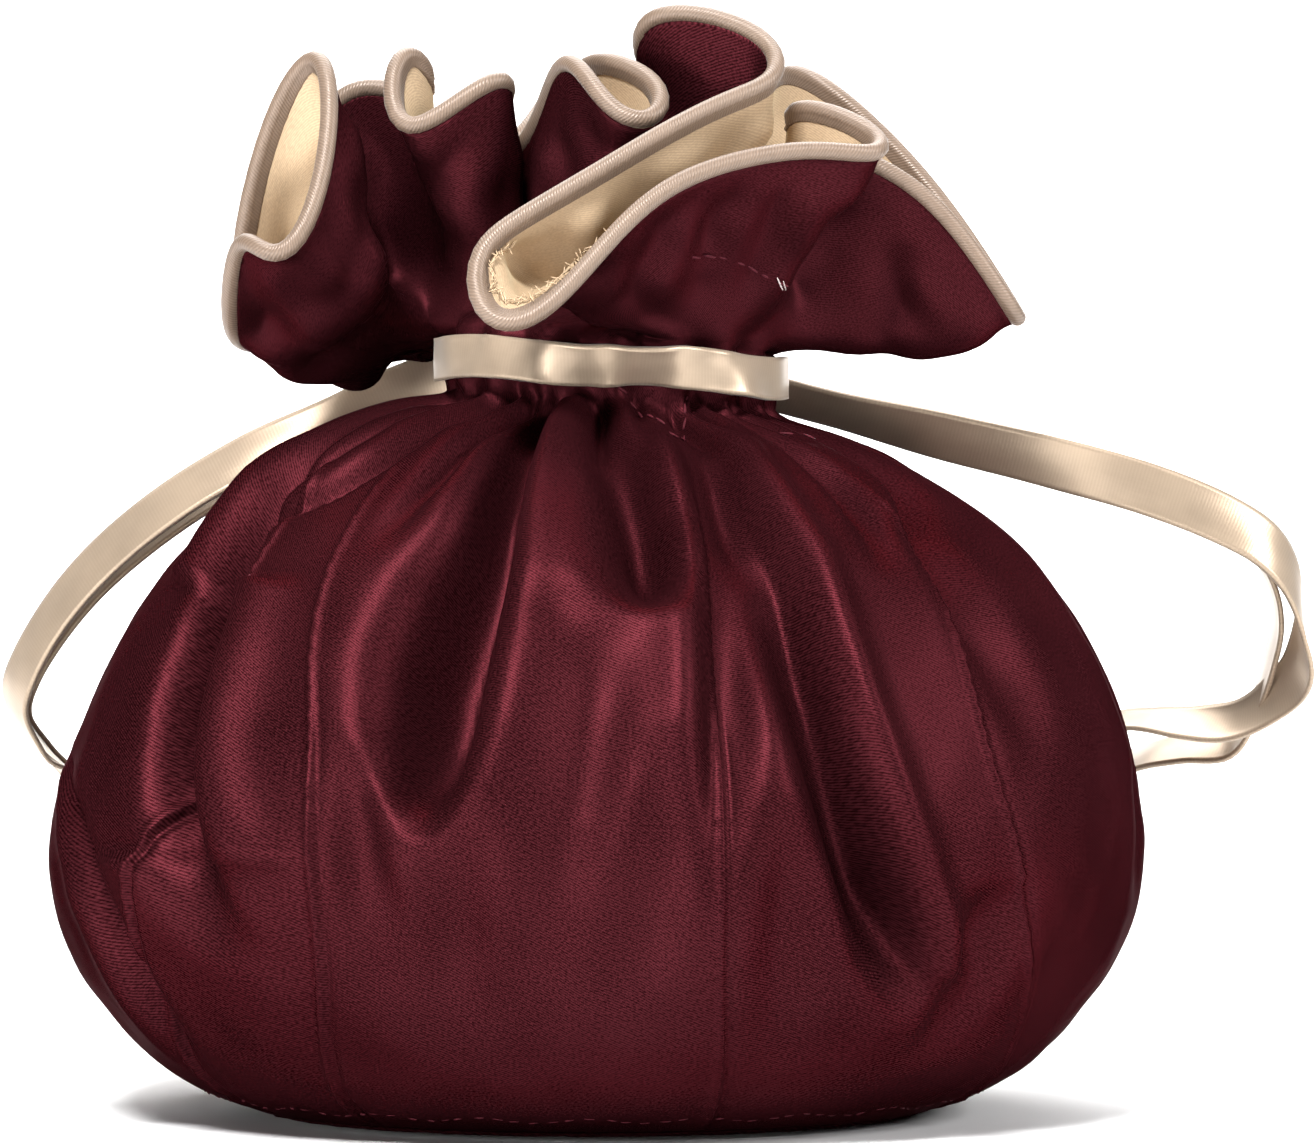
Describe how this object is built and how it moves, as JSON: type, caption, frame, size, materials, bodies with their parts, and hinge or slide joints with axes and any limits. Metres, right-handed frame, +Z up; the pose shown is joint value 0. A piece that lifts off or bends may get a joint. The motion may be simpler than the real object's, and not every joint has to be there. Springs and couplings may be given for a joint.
{
  "type": "drawstring jewelry pouch",
  "caption": "Round-bottomed satin pouch, gathered at the neck by a drawn ribbon, with a ruffled, piped and lined mouth and ribbon loops at the sides.",
  "frame": {"origin": "middle of the base panel's underside, on the surface that the pouch stands on", "axes": "+Z up, -Y to the front, +X to the right as seen from the front"},
  "size_m": [0.1642, 0.1503, 0.1311],
  "materials": {
    "burgundy_satin": "satin",
    "gold_lining": "satin",
    "champagne_piping": "satin",
    "champagne_ribbon": "satin"
  },
  "bodies": {
    "root": {"base_panel": "burgundy_satin", "body": "burgundy_satin", "ruffle": "burgundy_satin", "lining": "gold_lining", "piping": "champagne_piping", "neck_ribbon": "champagne_ribbon", "drawstring_left": "champagne_ribbon", "drawstring_right": "champagne_ribbon"}
  },
  "joints": []
}
